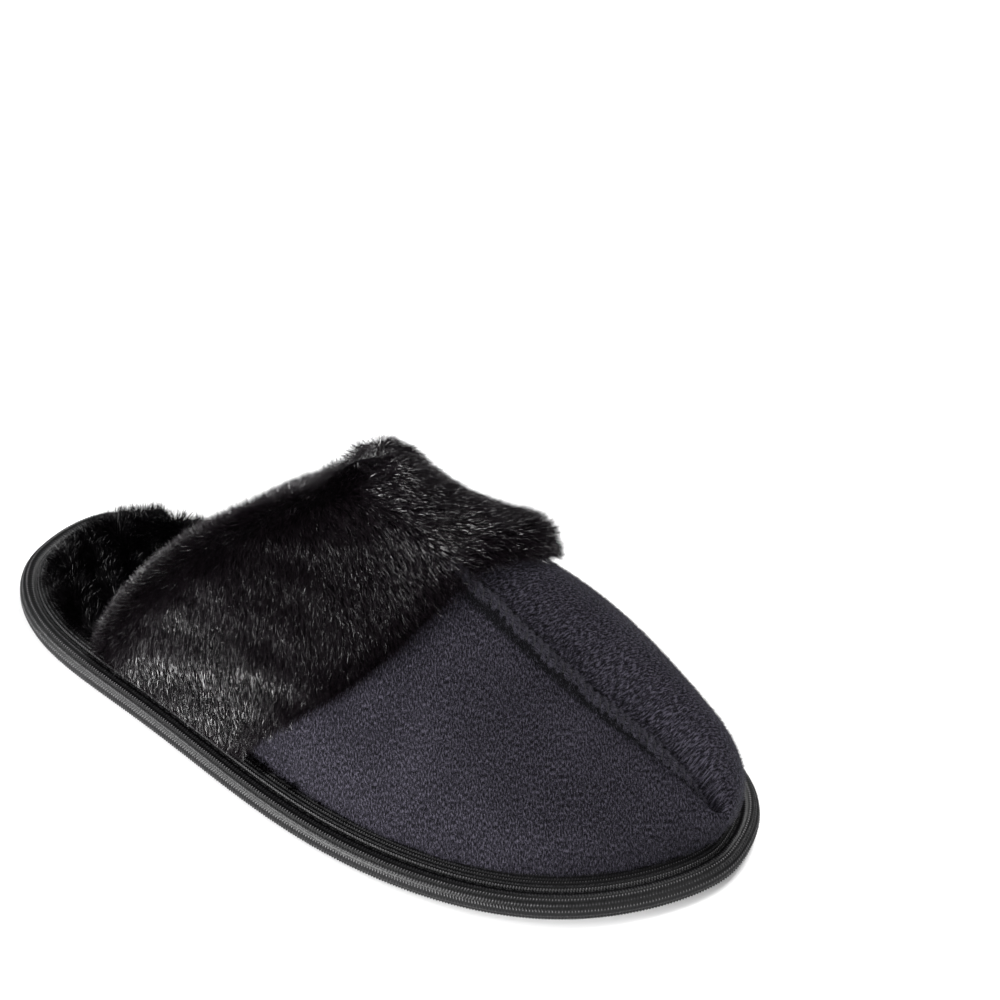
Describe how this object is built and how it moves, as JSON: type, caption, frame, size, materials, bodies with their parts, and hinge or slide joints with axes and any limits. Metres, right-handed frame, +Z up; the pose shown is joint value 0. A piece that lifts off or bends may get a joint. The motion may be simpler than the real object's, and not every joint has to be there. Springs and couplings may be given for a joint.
{
  "type": "house slipper",
  "caption": "Open-back house slipper with a padded microsuede vamp, a centre seam, a folded faux-fur cuff, a plush insole and a woven tape bound round the sole edge",
  "frame": {"origin": "centre of the bounding box in plan, on the surface that the slipper stands on", "axes": "+X from heel to toe, +Y to the medial (big-toe) side of this right-foot slipper, +Z up"},
  "size_m": [0.26, 0.1057, 0.1053],
  "materials": {
    "outsole_rubber": "moulded",
    "midsole_foam": "closed-cell foam",
    "insole_board": "pressed fibreboard",
    "comfort_foam": "open-cell foam",
    "insole_plush": "long brushed plush",
    "binding_tape": "woven ribbed tape",
    "thread": "twisted thread",
    "microsuede": "brushed microsuede",
    "vamp_foam": "open-cell foam",
    "lining": "short plush",
    "faux_fur": "faux fur pile"
  },
  "bodies": {
    "root": {"outsole": "outsole_rubber", "midsole_foam": "midsole_foam", "insole_board": "insole_board", "comfort_foam": "comfort_foam", "insole_plush": "insole_plush", "edge_binding": "binding_tape", "binding_stitch_outer": "thread", "binding_stitch_inner": "thread", "sole_stitch_outer": "thread", "sole_stitch_inner": "thread", "vamp_panel_lateral": "microsuede", "vamp_panel_medial": "microsuede", "vamp_foam_lateral": "vamp_foam", "vamp_foam_medial": "vamp_foam", "vamp_lining_lateral": "lining", "vamp_lining_medial": "lining", "centre_seam_ridge": "microsuede", "centre_seam_stitches": "thread", "fur_cuff": "faux_fur"}
  },
  "joints": []
}
